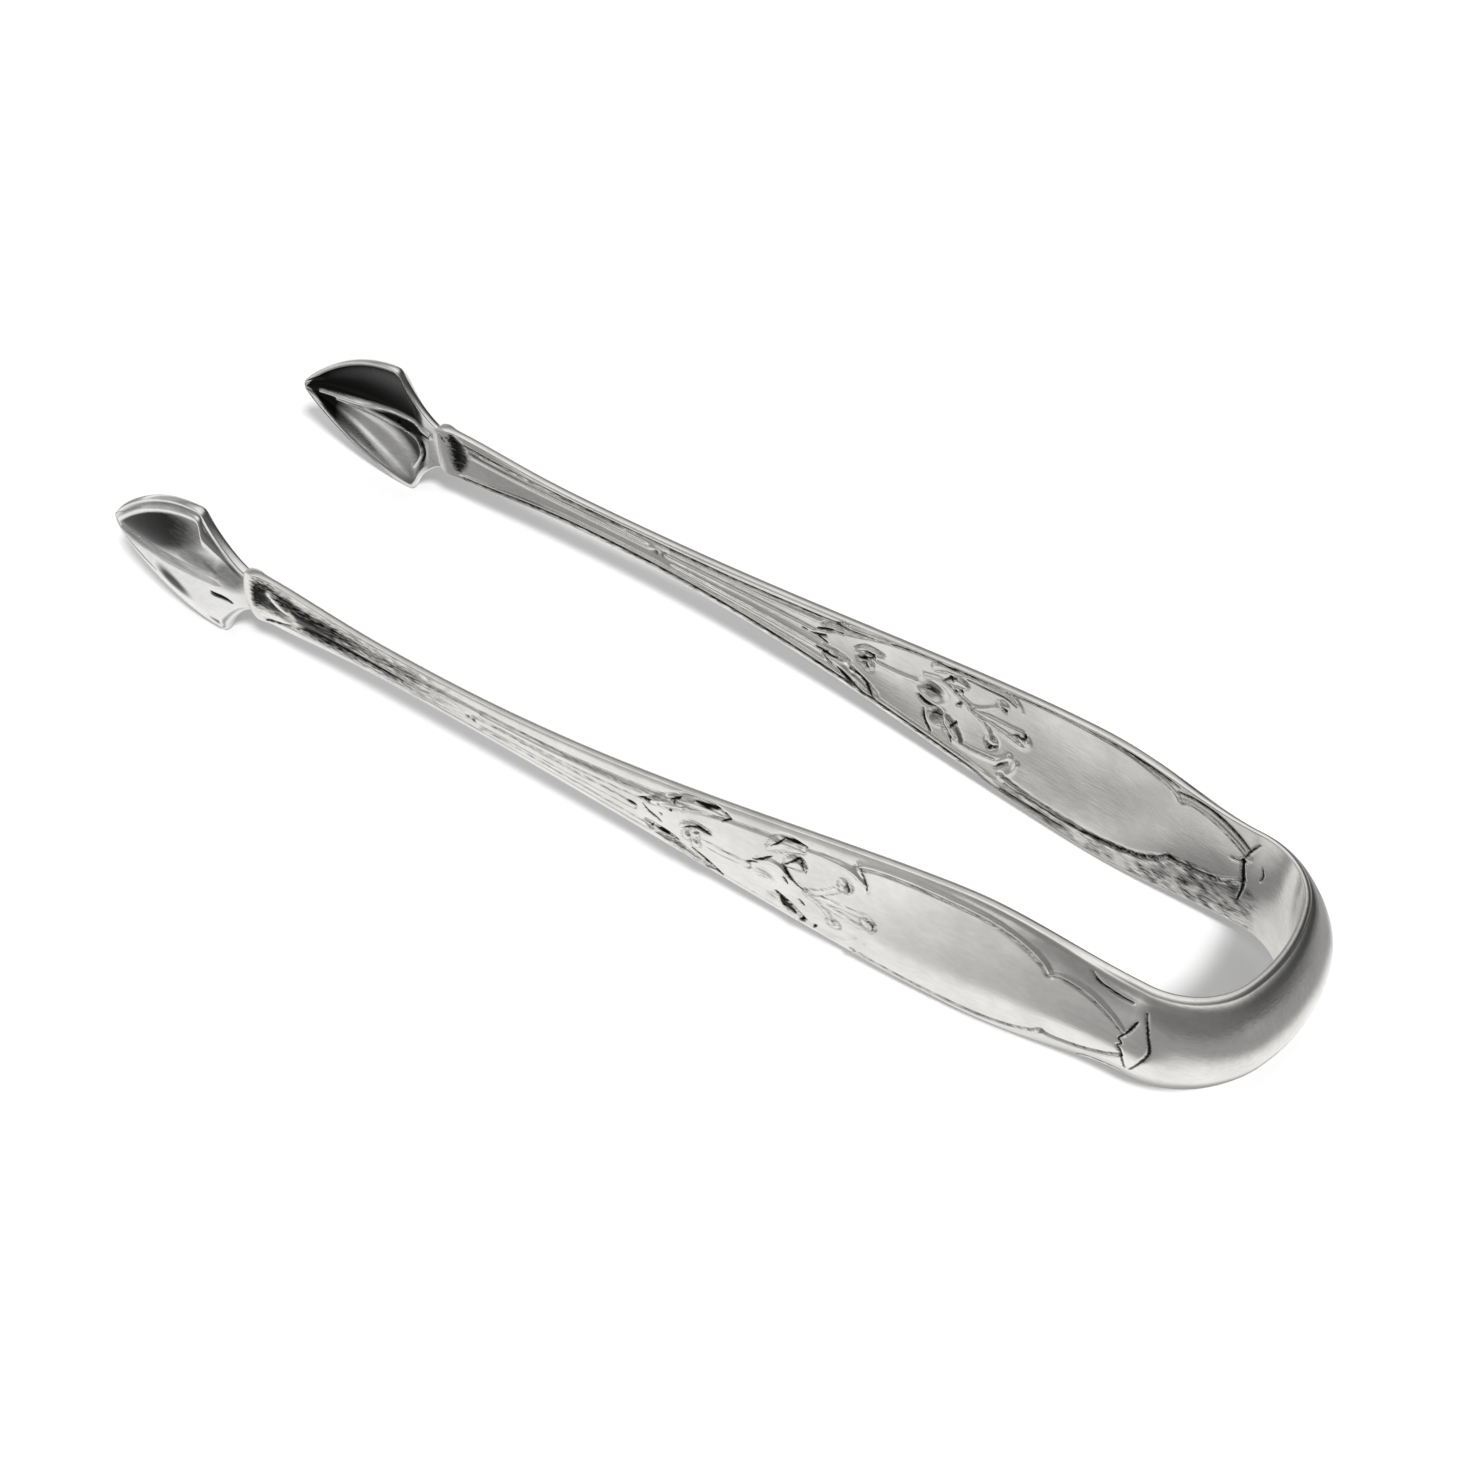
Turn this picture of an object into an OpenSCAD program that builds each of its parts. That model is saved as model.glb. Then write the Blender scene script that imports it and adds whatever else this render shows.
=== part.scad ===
// Sprung serving tongs for sugar: a bow spring, two pressed arms and two dished claws.
// Lengths in millimetres. The tongs lie on the lower edges of the strip, so the width of the
// strip is upright. X runs from the claw tips to the crown of the bow, and Y across the gap.

/* [Bow] */
// Width of the spring strip in the bow
bow_w = 10.5; // [8:0.1:12]
// Thickness of the strip at the crown of the bow
bow_t = 3.1; // [1.6:0.05:3.4]
// Thickness of the strip at the shoulders of the bow
root_t = 2; // [1.2:0.05:2.6]
// Clear width between the arms where they leave the bow
bow_gap = 17; // [15:0.1:26]
// Inner radius of the two rounded shoulders of the bow
bow_corner_r = 5.8; // [3:0.1:7]
// How far the crown of the bow arches beyond its shoulders
bow_rise = 0.4; // [0.2:0.05:2]
// Turn of the shoulder at which the bow is soldered to an arm, in degrees from the crown
seam_turn = 66; // [55:1:85]

/* [Strip] */
// Thickness of the strip along its edges
edge_t = 0.6; // [0.45:0.05:1]
// Width of the plain rim along each edge of an arm
rim_w = 1; // [0.6:0.05:1.4]
// Depth of the line that sets the rim off from the field of an arm
rim_line_d = 0.2; // [0.05:0.01:0.3]
// How much the line and the edges are softened
soften = 0.13; // [0.05:0.01:0.2]

/* [Arms] */
// Length of an arm from the bow to the neck of the claw
arm_len = 83.7; // [65:0.1:110]
// How far an arm spreads outwards on its way to the claw
arm_spread = 3.4; // [0.5:0.1:6]
// Length over which an arm spreads
spread_len = 65; // [40:0.5:65]
// Width of an arm at its broad panel
panel_w = 13.2; // [12:0.1:18]
// Distance from the bow to the broadest place of the panel
panel_at = 13; // [8:0.1:25]
// How far the outer face of the panel is crowned
panel_crown = 1.25; // [0.8:0.05:1.8]
// How far the inner face of the panel is hollowed
panel_hollow = 0.9; // [0.1:0.05:1]
// Width of an arm at its slimmest place
slim_w = 3.6; // [3.3:0.1:5]
// Distance from the neck of the claw to the slimmest place of an arm
slim_at = 18.5; // [8:0.1:28]
// How far the outer face of the slim arm is crowned
slim_crown = 0.4; // [0.2:0.05:1.2]
// How far the inner face of the slim arm is hollowed
slim_hollow = 0.3; // [0:0.05:0.5]
// Width of the socket that holds the claw
calyx_w = 5.3; // [4.4:0.1:8]
// Length of the rounded end of the socket
calyx_len = 1.6; // [1:0.1:3]
// Width of the neck between the socket and the claw
neck_w = 4.6; // [2.8:0.1:5]

/* [Claws] */
// Length of a claw from its neck to its tip
claw_len = 16.7; // [12:0.1:24]
// Width of a claw across its two barbs
claw_w = 13.9; // [10:0.1:18]
// Distance from the neck to the barbs
barb_at = 4.1; // [2.5:0.1:7]
// Width of the blunt tip
tip_w = 0.9; // [0.5:0.05:2]
// Thickness of the sheet that a claw is pressed from
claw_t = 0.75; // [0.5:0.05:1.1]
// How far the middle of a claw is dished outwards
claw_dish = 0.65; // [0.2:0.05:1.5]
// Depth of the two pockets beside the middle rib
pocket_d = 0.75; // [0.2:0.05:1.2]
// Width of the flat rim round a claw
flange_w = 1; // [0.6:0.05:1.5]
// Width of the middle rib
rib_w = 1.2; // [0.6:0.05:2]
// How far the tip of a claw leans in towards the other one
toe_in = 0.3; // [0:0.05:2]

/* [Hidden] */
silver = [0.80, 0.80, 0.78];
silver_dull = [0.70, 0.70, 0.68];

// Places along X: the shoulders of the bow, and the neck of the claws
overall_len = bow_corner_r + bow_rise + bow_t + arm_len + claw_len;
shoulder_x = overall_len / 2 - bow_t - bow_rise - bow_corner_r;
panel_x = shoulder_x - panel_at;
neck_x = shoulder_x - arm_len;
calyx_x = neck_x + calyx_len;
slim_x = neck_x + slim_at;
mid_z = max(panel_w, claw_w) / 2;

// Crown arc of the bow, tangent to both shoulders
corner_y = bow_gap / 2 - bow_corner_r;
crown_r = (2 * bow_corner_r * bow_rise + bow_rise ^ 2 + corner_y ^ 2) / (2 * bow_rise);
crown_x = shoulder_x + bow_corner_r + bow_rise - crown_r;
crown_half = atan2(corner_y, shoulder_x - crown_x);

// Numbers of stations along an arm, the two parts of a claw, and the arcs of the bow
arm_steps = 46;
hollow_steps = 8;
blade_steps = 20;
corner_steps = 5;
root_steps = 4;
crown_steps = 8;

// Powers that shape the outlines: the taper from panel to slim arm, the swell to the socket,
// the spread of the arms, the crown of the strip, and the arch and hollow shoulders of a claw
taper_skew = 0.76;
socket_skew = 1.4;
spread_skew = 0.68;
crown_power = 0.75;
arch_power = 0.83;
hollow_power = 1.3;
hollow_lead = 1.3;
dish_power = 0.6;
pocket_skew = 0.8;

// Power that brings the stations of a claw closer together towards its tip
station_lead = 1.3;

// Shares of a width or thickness: the chamfer of an edge, and the most that the flat rim, the
// half rib and the softened edge take of half a narrow claw
chamfer_share = 0.2;
flange_share = 0.3;
rib_share = 0.2;
soften_share = 0.1;

// Smooth step from a at 0 to b at 1, with a power that skews it
function ease(a, b, t, skew = 1) =
    let (u = max(0, min(1, t)) ^ skew) a + (b - a) * (1 - cos(180 * u)) / 2;

// Half the width of an arm at x
function arm_half(x) =
    x > panel_x ? ease(panel_w, bow_w, (x - panel_x) / panel_at) / 2 :
    x > slim_x ? ease(panel_w, slim_w, (panel_x - x) / (panel_x - slim_x), taper_skew) / 2 :
    x > calyx_x ? ease(slim_w, calyx_w, (slim_x - x) / (slim_at - calyx_len), socket_skew) / 2 :
    neck_w / 2 + (calyx_w - neck_w) / 2 * sqrt(max(0, 1 - ((calyx_x - x) / calyx_len) ^ 2));

// Crown of the outer face and hollow of the inner face of an arm at x
function arm_crown(x) =
    x > panel_x ? ease(panel_crown, root_t - edge_t, (x - panel_x) / panel_at) :
    ease(panel_crown, slim_crown, (panel_x - x) / (panel_x - slim_x));
function arm_hollow(x) =
    x > panel_x ? ease(panel_hollow, 0, (x - panel_x) / panel_at) :
    x > slim_x ? ease(panel_hollow, slim_hollow, (panel_x - x) / (panel_x - slim_x)) :
    ease(slim_hollow, 0, (slim_x - x) / slim_at);

// Depth of the rim line, which fades out before the bow and at the neck
function line_depth(x) =
    x > panel_x ? ease(rim_line_d, 0, (x - panel_x) / panel_at) :
    ease(rim_line_d, 0, (calyx_x - x) / calyx_len);

// Path of the inner face: distance from the middle plane, and the slant of the strip
function arm_run(x) = max(0, min(1, (shoulder_x - x) / spread_len));
function arm_y(x) = bow_gap / 2 + ease(0, arm_spread, arm_run(x), spread_skew);
function arm_slant(x) =
    let (t = max(arm_run(x), 0.000001), u = t ^ spread_skew)
    atan(arm_spread / spread_len * PI / 2 * spread_skew * u / t * sin(180 * u));

// Outer and inner face of the strip, as distances from the path of the inner face
function outer_off(x, z, half, crown) =
    let (rim = min(rim_w, half / 2), from_line = (half - abs(z) - rim) / soften)
    edge_t + crown * (1 - (z / half) ^ 2) ^ crown_power - line_depth(x) * exp(-from_line ^ 2);
function inner_off(x, z, half) = arm_hollow(x) * (1 - (z / half) ^ 2);

// Heights of the points in the upper half of a section, from the middle out to the edge
function strip_heights(half) =
    let (rim = min(rim_w, half / 2), field = half - rim - 2 * soften)
    [0, field / 3, field * 2 / 3, field, half - rim - soften, half - rim,
     half - rim + soften, half - rim / 2, half - soften];

function flipped(points) = [for (i = [len(points) - 1 : -1 : 0]) points[i]];
function below(points) = [for (p = points) if (p[0] > 0) [-p[0], p[1]]];

// A closed section from the upper halves of its two faces and its thickness at the edge: it
// runs up the outer face and down the inner face, with as many points on each
function closed_section(outer, inner, half, edge) =
    let (low = edge * chamfer_share, high = edge - low)
    concat([[-half, low], [-half, high]], flipped(below(outer)), outer,
           [[half, high], [half, low]], flipped(inner), below(inner));
function strip_section(x, crown) =
    let (half = arm_half(x), heights = strip_heights(half))
    closed_section([for (z = heights) [z, outer_off(x, z, half, crown)]],
                   [for (z = heights) [z, inner_off(x, z, half)]], half, edge_t);

// A section placed in space, square to the path
function placed(section, x, y, slant) =
    [for (p = section) [x + p[1] * sin(slant), y + p[1] * cos(slant), mid_z + p[0]]];

// Solid through a row of closed sections. Each end is filled by a strip between the outer and
// the inner face.
module loft(rings) {
    n = len(rings[0]);
    last = (len(rings) - 1) * n;
    points = [for (ring = rings) each ring];
    sides = [for (i = [0 : n : last - n], k = [0 : n - 1])
        let (a = i + k, b = i + (k + 1) % n, c = b + n, d = a + n)
        each [[a, b, c], [a, c, d]]];
    ends = [for (k = [0 : n / 2 - 2])
        let (a = 1 + k, b = 2 + k, c = n - 1 - k, d = (n - k) % n)
        each [[d, c, b], [d, b, a], [last + a, last + b, last + c], [last + a, last + c, last + d]]];
    polyhedron(points = points, faces = concat(sides, ends), convexity = 8);
}

// Stations along the straight of an arm, closer together in the rounded end of the socket
function arm_stations() = concat(
    [for (i = [0 : arm_steps - 1]) shoulder_x - (arm_len - calyx_len) * i / arm_steps],
    [for (a = [0 : 22.5 : 90]) calyx_x - calyx_len * sin(a)]);

// A section of the bow, at a turn of the strip that is 0 at the crown
function bow_place(turn) =
    abs(turn) > crown_half ?
        [shoulder_x + bow_corner_r * cos(turn), sign(turn) * corner_y + bow_corner_r * sin(turn)] :
        [crown_x + crown_r * cos(turn), crown_r * sin(turn)];
function bow_ring(turn) =
    let (place = bow_place(turn), thickness = ease(bow_t, root_t, abs(turn) / 90))
    placed(strip_section(shoulder_x, thickness - edge_t), place[0], place[1], 90 - turn);

module arm() {
    root = [for (i = [0 : root_steps - 1]) seam_turn + (90 - seam_turn) * i / root_steps];
    straight = [for (x = arm_stations())
        placed(strip_section(x, arm_crown(x)), x, arm_y(x), arm_slant(x))];
    loft(concat([for (turn = root) bow_ring(turn)], straight));
}

// Half the width of a claw: a hollow shoulder out to the barb, then a pointed arch to the tip
function blade_half(w) = tip_w / 2 + (claw_w - tip_w) / 2 * sin(90 * w) ^ arch_power;
function blade_x(w) = neck_x - claw_len + (claw_len - barb_at) * w;
function hollow_half(v) = neck_w / 2 + (claw_w - neck_w) / 2 * v ^ hollow_power;
function hollow_x(v) = neck_x - barb_at * (1 - (1 - v) ^ hollow_lead);

// Share of the full dish: none at the neck and the tip
function claw_fullness(x) =
    max(0, sin(180 * (neck_x - x) / claw_len)) ^ dish_power;

// Inner face of a claw: a shallow dish, with a pocket between the rib and the flat rim
function claw_flange(half) = min(flange_w, half * flange_share);
function claw_rib(half) = min(rib_w / 2, half * rib_share);
function claw_pocket(z, half) =
    let (p = (abs(z) - claw_rib(half)) / (half - claw_flange(half) - claw_rib(half)))
    p > 0 && p < 1 ? pocket_d * sin(180 * p ^ pocket_skew) : 0;
function claw_inner(x, z, half) =
    claw_fullness(x) * (claw_dish * (1 - (z / half) ^ 2) + claw_pocket(z, half));

// Thickness of a claw: the neck section of the arm at the start, and sheet beyond
function neck_share(x) = ease(1, 0, (neck_x - x) / barb_at);
function claw_outer(x, z, half) =
    let (full = edge_t + arm_crown(neck_x) * (1 - (z / half) ^ 2) ^ crown_power)
    claw_inner(x, z, half) + claw_t + (full - claw_t) * neck_share(x);

function claw_heights(half) =
    let (flange = claw_flange(half), rib = claw_rib(half), pocket = half - flange - rib)
    [0, rib / 2, rib, rib + pocket * 0.2, rib + pocket * 0.45, rib + pocket * 0.75,
     half - flange, half - flange / 2, half - min(soften, half * soften_share)];

function claw_section(x, half) =
    let (heights = claw_heights(half))
    closed_section([for (z = heights) [z, claw_outer(x, z, half)]],
                   [for (z = heights) [z, claw_inner(x, z, half)]],
                   half, claw_t + (edge_t - claw_t) * neck_share(x));

function claw_y(x) = arm_y(neck_x) - toe_in * ((neck_x - x) / claw_len) ^ 2;

// Stations of a claw from the neck to the tip, as [x, half width]
function claw_stations() = concat(
    [for (i = [0 : hollow_steps - 1])
        let (v = i / hollow_steps) [hollow_x(v), hollow_half(v)]],
    [for (i = [blade_steps : -1 : 1])
        let (w = (i / blade_steps) ^ station_lead) [blade_x(w), blade_half(w)]],
    [[neck_x - claw_len, tip_w / 2]]);

module claw() {
    loft([for (s = claw_stations()) placed(claw_section(s[0], s[1]), s[0], claw_y(s[0]), 0)]);
}

// Turns of the strip round the bow, from the right seam to the left one
function bow_turns() = concat(
    [for (i = [0 : corner_steps - 1]) seam_turn + (crown_half - seam_turn) * i / corner_steps],
    [for (i = [0 : crown_steps]) crown_half * (1 - 2 * i / crown_steps)],
    [for (i = [1 : corner_steps]) -crown_half - (seam_turn - crown_half) * i / corner_steps]);

module bow_spring() {
    color(silver) loft([for (turn = bow_turns()) bow_ring(turn)]);
}

module right_arm() { color(silver) arm(); }
module left_arm() { color(silver) mirror([0, 1, 0]) arm(); }
module right_claw() { color(silver_dull) claw(); }
module left_claw() { color(silver_dull) mirror([0, 1, 0]) claw(); }

bow_spring();
left_arm();
right_arm();
left_claw();
right_claw();
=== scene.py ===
import math

import bmesh
import bpy
import numpy as np
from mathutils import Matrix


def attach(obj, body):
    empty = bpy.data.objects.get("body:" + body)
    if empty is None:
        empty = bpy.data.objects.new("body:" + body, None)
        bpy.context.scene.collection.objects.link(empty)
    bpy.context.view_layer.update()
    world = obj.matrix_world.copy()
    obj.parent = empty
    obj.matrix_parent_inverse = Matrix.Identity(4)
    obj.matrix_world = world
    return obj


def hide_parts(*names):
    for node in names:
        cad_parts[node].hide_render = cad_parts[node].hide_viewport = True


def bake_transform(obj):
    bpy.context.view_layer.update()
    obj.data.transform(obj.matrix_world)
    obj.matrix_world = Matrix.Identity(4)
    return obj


# Silver sugar tongs: a plain crowned bow, two pressed arms with a flower spray and a framed
# panel, and two dished claws. Sizes are in millimetres, in the frame of the solids.

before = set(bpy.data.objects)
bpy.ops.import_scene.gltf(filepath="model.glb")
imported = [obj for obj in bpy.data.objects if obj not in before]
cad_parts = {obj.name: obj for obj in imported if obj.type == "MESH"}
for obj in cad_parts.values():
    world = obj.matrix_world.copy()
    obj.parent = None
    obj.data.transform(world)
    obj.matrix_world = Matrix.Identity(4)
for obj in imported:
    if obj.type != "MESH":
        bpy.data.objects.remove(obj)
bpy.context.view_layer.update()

MM = 0.001

# Bow
BOW_W = 10.5
BOW_T = 3.1
ROOT_T = 2.0
BOW_GAP = 17.0
CORNER_R = 5.8
BOW_RISE = 0.4
SEAM_TURN = math.radians(66)

# Strip
EDGE_T = 0.6
EDGE_ROUND = 0.17
ARM_CHAMFER = 0.03
BOW_CHAMFER = 0.37
CROWN_POWER = 0.75
BOW_POWER = 1.15

# Arms
ARM_LEN = 83.7
SPREAD = 3.4
SPREAD_LEN = 65.0
SPREAD_SKEW = 0.68
PANEL_W = 13.2
PANEL_AT = 13.0
PANEL_CROWN = 1.25
PANEL_HOLLOW = 0.9
TAPER_SKEW = 0.76
SLIM_W = 3.6
SLIM_AT = 18.5
SLIM_CROWN = 0.4
SLIM_HOLLOW = 0.3
SOCKET_W = 5.3
SOCKET_LEN = 1.6
SOCKET_SKEW = 1.4
NECK_W = 4.6

# Claws
CLAW_LEN = 16.7
CLAW_W = 13.9
BARB_AT = 4.1
TIP_W = 0.9
CLAW_T = 0.75
CLAW_DISH = 0.65
POCKET_D = 0.75
FLANGE_W = 1.0
RIB_W = 1.2
TOE_IN = 0.3

# Places that follow from the sizes
OVERALL = CORNER_R + BOW_RISE + BOW_T + ARM_LEN + CLAW_LEN
SHOULDER_X = OVERALL / 2 - BOW_T - BOW_RISE - CORNER_R
PANEL_X = SHOULDER_X - PANEL_AT
NECK_X = SHOULDER_X - ARM_LEN
SOCKET_X = NECK_X + SOCKET_LEN
SLIM_X = NECK_X + SLIM_AT
MID_Z = max(PANEL_W, CLAW_W) / 2
CORNER_Y = BOW_GAP / 2 - CORNER_R
CROWN_R = (2 * CORNER_R * BOW_RISE + BOW_RISE ** 2 + CORNER_Y ** 2) / (2 * BOW_RISE)
CROWN_X = SHOULDER_X + CORNER_R + BOW_RISE - CROWN_R
CROWN_HALF = math.atan2(CORNER_Y, SHOULDER_X - CROWN_X)
CORNER_RUN = CORNER_R * (math.pi / 2 - CROWN_HALF)
SEAM_RUN = SHOULDER_X + CORNER_R * (math.pi / 2 - SEAM_TURN)
CROWN_RUN = SHOULDER_X + CORNER_RUN + CROWN_R * CROWN_HALF


def ease(a, b, t, skew=1.0):
    """Smooth step from a at 0 to b at 1, skewed by a power."""
    u = np.clip(t, 0, 1) ** skew
    return a + (b - a) * (1 - np.cos(np.pi * u)) / 2


def smooth(t):
    """Smooth step from 0 to 1."""
    t = np.clip(t, 0, 1)
    return t * t * (3 - 2 * t)


def since(place, start, length):
    """Smooth step from 0 at a start to 1, over a length."""
    return smooth((place - start) / length)


def until(place, end, length):
    """Smooth step from 1 to 0 at an end, over a length."""
    return smooth((end - place) / length)


# The strip. Its run is X along an arm, and goes on as a length round the inside of the bow.

def strip_half(run):
    """Half the width of the strip."""
    x = np.minimum(run, SHOULDER_X)
    panel = ease(PANEL_W, BOW_W, (x - PANEL_X) / PANEL_AT) / 2
    taper = ease(PANEL_W, SLIM_W, (PANEL_X - x) / (PANEL_X - SLIM_X), TAPER_SKEW) / 2
    swell = ease(SLIM_W, SOCKET_W, (SLIM_X - x) / (SLIM_AT - SOCKET_LEN), SOCKET_SKEW) / 2
    end = np.sqrt(np.clip(1 - ((SOCKET_X - x) / SOCKET_LEN) ** 2, 0, 1))
    socket = NECK_W / 2 + (SOCKET_W - NECK_W) / 2 * end
    return np.select([x > PANEL_X, x > SLIM_X, x > SOCKET_X], [panel, taper, swell], socket)


def strip_path(run):
    """Place of the inner face in plan, as x, y and the slant of the strip."""
    t = np.clip((SHOULDER_X - run) / SPREAD_LEN, 1e-6, 1)
    u = t ** SPREAD_SKEW
    rise = SPREAD / SPREAD_LEN * math.pi / 2 * SPREAD_SKEW * u / t
    arm_y = BOW_GAP / 2 + ease(0, SPREAD, u)
    arm_slant = np.arctan(rise * np.sin(np.pi * u))
    over = np.maximum(run - SHOULDER_X, 0)
    corner = np.pi / 2 - over / CORNER_R
    crown = CROWN_HALF - (over - CORNER_RUN) / CROWN_R
    turn = np.where(over < CORNER_RUN, corner, crown)
    radius = np.where(over < CORNER_RUN, CORNER_R, CROWN_R)
    centre_x = np.where(over < CORNER_RUN, SHOULDER_X, CROWN_X)
    centre_y = np.where(over < CORNER_RUN, CORNER_Y, 0)
    on_arm = run <= SHOULDER_X
    x = np.where(on_arm, run, centre_x + radius * np.cos(turn))
    y = np.where(on_arm, arm_y, centre_y + radius * np.sin(turn))
    return x, y, np.where(on_arm, arm_slant, np.pi / 2 - turn)


def strip_crown(run):
    """How far the outer face is crowned over its edges."""
    x = np.minimum(run, SHOULDER_X)
    root = ease(PANEL_CROWN, ROOT_T - EDGE_T, (x - PANEL_X) / PANEL_AT)
    slim = ease(PANEL_CROWN, SLIM_CROWN, (PANEL_X - x) / (PANEL_X - SLIM_X))
    slant = strip_path(run)[2]
    bow = ease(ROOT_T, BOW_T, slant / (np.pi / 2)) - EDGE_T
    return np.select([run > SHOULDER_X, x > PANEL_X], [bow, root], slim)


def strip_hollow(run):
    """How far the inner face is hollowed."""
    root = ease(PANEL_HOLLOW, 0, (run - PANEL_X) / PANEL_AT)
    slim = ease(PANEL_HOLLOW, SLIM_HOLLOW, (PANEL_X - run) / (PANEL_X - SLIM_X))
    neck = ease(SLIM_HOLLOW, 0, (SLIM_X - run) / SLIM_AT)
    return np.select([run > PANEL_X, run > SLIM_X], [root, slim], neck)


# Ornament. Each line is a curve through points given as (run, height over the middle).

class Relief:
    """Heights and dark of the ornament, gathered over the points of a face. The dark is patina and painted
    shade.
    """

    def __init__(self, run, z):
        self.run = run
        self.z = z
        self.height = np.zeros_like(run)
        self.dark = np.zeros_like(run)

    def near(self, points, reach):
        """Face points near a curve: index, distance, share along it, and side of it."""
        curve = smooth_curve(points)
        low = curve.min(0) - reach
        high = curve.max(0) + reach
        inside = (self.run > low[0]) & (self.run < high[0])
        inside &= (self.z > low[1]) & (self.z < high[1])
        index = np.nonzero(inside)[0]
        best = np.full(len(index), 1e9)
        share = np.zeros(len(index))
        side = np.zeros(len(index))
        here = np.stack([self.run[index], self.z[index]], 1)
        legs = len(curve) - 1
        for k in range(legs):
            a = curve[k]
            leg = curve[k + 1] - a
            off = here - a
            t = np.clip(off @ leg / max(leg @ leg, 1e-12), 0, 1)
            d = np.hypot(off[:, 0] - t * leg[0], off[:, 1] - t * leg[1])
            closer = d < best
            best[closer] = d[closer]
            share[closer] = (k + t[closer]) / legs
            side[closer] = np.sign(leg[0] * off[closer, 1] - leg[1] * off[closer, 0])
        return index, best, share, side

    def darken(self, index, shade):
        """Darken points, where they are not darker already."""
        self.dark[index] = np.maximum(self.dark[index], shade)

    def clear_dark(self, points, width):
        """Take the dark off along a curve, so a raised line stays bright."""
        index, d, share, side = self.near(points, width * 3)
        self.dark[index] *= 1 - np.exp(-(d / width) ** 2)

    def bead(self, points, width, height, inside=0, dark=0.0):
        """A raised round line with painted shade at its foot: along both sides, or along one as a deeper
        groove.
        """
        index, d, share, side = self.near(points, width * 4)
        self.height[index] += height * np.exp(-(d / width) ** 2)
        if not inside:
            self.darken(index, dark * np.exp(-((d - 1.4 * width) / (0.5 * width)) ** 2))
        else:
            foot = np.exp(-((d * side * inside - 1.7 * width) / (0.7 * width)) ** 2)
            self.height[index] -= 0.6 * height * foot
            self.darken(index, dark * foot)

    def cut(self, points, width, dark=0.95):
        """A recess, broadest at its middle, painted dark with shade and patina."""
        index, d, share, side = self.near(points, width * 3)
        slim = width * (0.45 + 0.55 * np.sin(np.pi * share) ** 0.7)
        recess = np.exp(-(d / slim) ** 2)
        self.height[index] -= min(0.2, 0.8 * width) * recess
        self.darken(index, dark * np.exp(-(d / (1.05 * slim)) ** 4))

    def leaf(self, points, width, height, dark=0.3):
        """A raised pointed leaf along a curve, with a middle vein and a soft outline, and painted shade
        along the outline and strokes.
        """
        index, d, share, side = self.near(points, width * 2.2)
        half = width * np.sin(np.pi * np.clip(share, 0.02, 0.98)) ** 0.7
        ends = smooth(share / 0.1) * smooth((1 - share) / 0.1)
        self.height[index] += height * ends * np.clip(1 - (d / half) ** 2, 0, 1) ** 0.7
        vein = ends * np.exp(-(d / 0.12) ** 2)
        strokes = ends * np.exp(-((d / half - 0.55) / 0.16) ** 2)
        outline = ends * np.exp(-((d - half * 1.1) / 0.15) ** 2)
        self.height[index] -= height * (0.3 * vein + 0.2 * strokes + 0.3 * outline)
        self.darken(index, dark * np.maximum(outline, strokes))

    def bud(self, place, radius, height, dark=0.3):
        """A raised dot with a soft ring round it, painted with shade."""
        d = np.hypot(self.run - place[0], self.z - place[1])
        ring = np.exp(-((d - radius * 1.15) / 0.14) ** 2)
        self.height += height * (np.clip(1 - (d / radius) ** 2, 0, 1) ** 0.7 - 0.3 * ring)
        self.dark = np.maximum(self.dark, dark * ring)

    def bowl(self, place, radii, depth, dark):
        """A sunk oval, with painted shade towards its bottom."""
        d = np.hypot((self.run - place[0]) / radii[0], (self.z - place[1]) / radii[1])
        sunk = smooth(1.25 - d)
        lip = np.exp(-((d - 1.25) / 0.16) ** 2)
        self.height += 0.12 * depth * lip - depth * sunk
        self.dark = np.maximum(self.dark, dark * smooth(1.15 - d))


def smooth_curve(points, pieces=8):
    """A round curve through the points."""
    p = np.array(points, float)
    if len(p) == 2:
        return p
    p = np.vstack([2 * p[0] - p[1], p, 2 * p[-1] - p[-2]])
    t = np.linspace(0, 1, pieces, endpoint=False)[:, None]
    legs = []
    for a, b, c, d in zip(p, p[1:], p[2:], p[3:]):
        bend = t * (2 * a - 5 * b + 4 * c - d + t * (3 * (b - c) + d - a))
        legs.append(b + 0.5 * t * (c - a + bend))
    return np.vstack(legs + [p[-2:-1]])


def mirrored(points):
    """The same curve below the middle."""
    return [(x, -z) for x, z in points]


# Framed panel: the curl, the long side, the short side to the finial, and a line outside it
PANEL_CURL = [(24.4, 3.0), (24.2, 3.8), (23.8, 4.4), (23.3, 4.95)]
PANEL_LONG = [(23.3, 4.95), (25, 5.35), (28, 5.65), (32, 5.7), (34.4, 5.5), (36.6, 4.95), (38.3, 4.1),
              (39, 3.4)]
PANEL_SHORT = [(39, 3.4), (40.1, 3.6), (42.1, 3.2), (44, 2.3), (45.3, 1.4)]

# Flower: petals, the lip of the cup, stamens and the curled edges of the outer petals
PETALS = [[(15.6, 2.4), (17.0, 3.6), (19.3, 3.95)], [(17.2, 1.95), (18.3, 2.5), (19.5, 2.5)],
          [(17.0, -1.9), (17.8, -2.9), (19.3, -4.0)]]
LIP = [(15.0, 1.2), (16.6, 1.6), (18.0, 1.0), (19.2, 0.45)]
STAMENS = [[(19.5, 0.35), (20.6, 0.85), (21.8, 1.8), (22.5, 2.5)],
           [(19.6, 0.15), (21.7, 0.35), (23.5, 0.45), (24.7, 0.5), (25.2, -0.2), (24.6, -0.9),
            (22.8, -0.6), (21.0, -0.25), (19.6, 0.0)],
           [(19.4, 0.0), (20.5, -0.4), (21.2, -1.0), (21.7, -1.9)]]
ANTHERS = [(22.6, 2.65), (24.7, -0.1), (21.8, -2.1)]
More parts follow.
